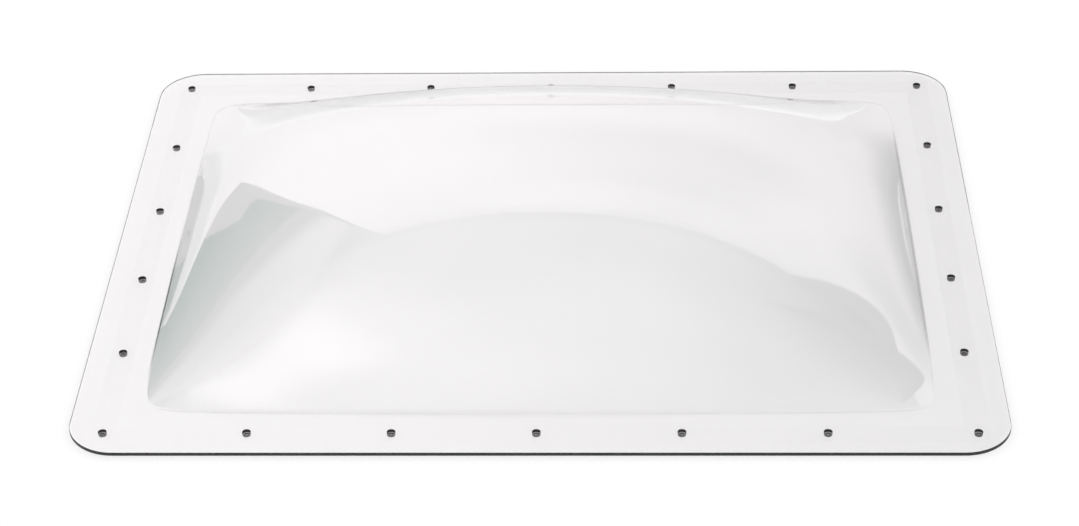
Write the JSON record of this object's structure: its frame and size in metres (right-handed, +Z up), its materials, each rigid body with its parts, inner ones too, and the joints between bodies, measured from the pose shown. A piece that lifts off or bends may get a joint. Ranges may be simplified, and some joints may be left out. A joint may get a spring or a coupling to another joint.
{
  "type": "rv skylight",
  "caption": "Clear rectangular skylight dome for a camper roof: formed sheet with a drilled flat flange, bedded on lengths of seal tape.",
  "frame": {"origin": "middle of the underside of the seal, on the roof surface under the crown of the dome", "axes": "+Z up out of the roof, +X along the long side to the right as seen from the front, +Y towards the back"},
  "size_m": [0.7112, 0.5588, 0.1016],
  "materials": {
    "clear_sheet": "polished clear polycarbonate, see-through, cut edges read dark",
    "seal_tape": "clear sealing tape, faintly hazed and grained, hardly seen under the clear sheet"
  },
  "bodies": {
    "root": {"skylight_dome": "clear_sheet", "seal_front": "seal_tape", "seal_back": "seal_tape", "seal_left": "seal_tape", "seal_right": "seal_tape"}
  },
  "joints": []
}
